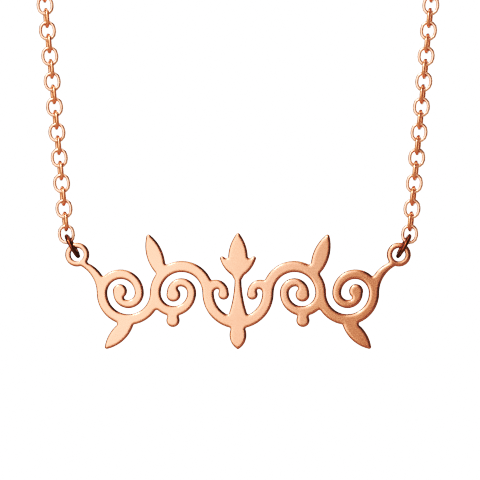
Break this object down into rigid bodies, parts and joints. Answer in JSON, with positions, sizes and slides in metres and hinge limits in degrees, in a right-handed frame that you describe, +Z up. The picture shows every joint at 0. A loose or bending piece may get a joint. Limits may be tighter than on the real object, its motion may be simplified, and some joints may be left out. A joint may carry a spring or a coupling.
{
  "type": "nameplate necklace",
  "caption": "Rose gold necklace: a flat pierced scrollwork plate hung by jump rings from an oval cable chain, closed at the nape, in its worn form",
  "frame": {"origin": "middle of the nape of the neck, on the side of the closed clasp that lies against the skin", "axes": "+X to the wearer's left and the viewer's right, +Y backwards, so the plate faces -Y, +Z up"},
  "size_m": [0.106, 0.0967, 0.0947],
  "materials": {
    "plate_polish": "sheet silver plated with rose gold, mirror polished, edges softened",
    "chain_wire": "round wire plated with rose gold, bright polished",
    "ring_wire": "round wire plated with rose gold, bright polished, slightly darker"
  },
  "bodies": {
    "root": {"nameplate": "plate_polish", "jump_ring_left": "ring_wire", "jump_ring_right": "ring_wire", "chain_left": "chain_wire", "chain_right": "chain_wire", "clasp": "ring_wire", "clasp_ring": "ring_wire", "end_ring": "ring_wire"}
  },
  "joints": []
}
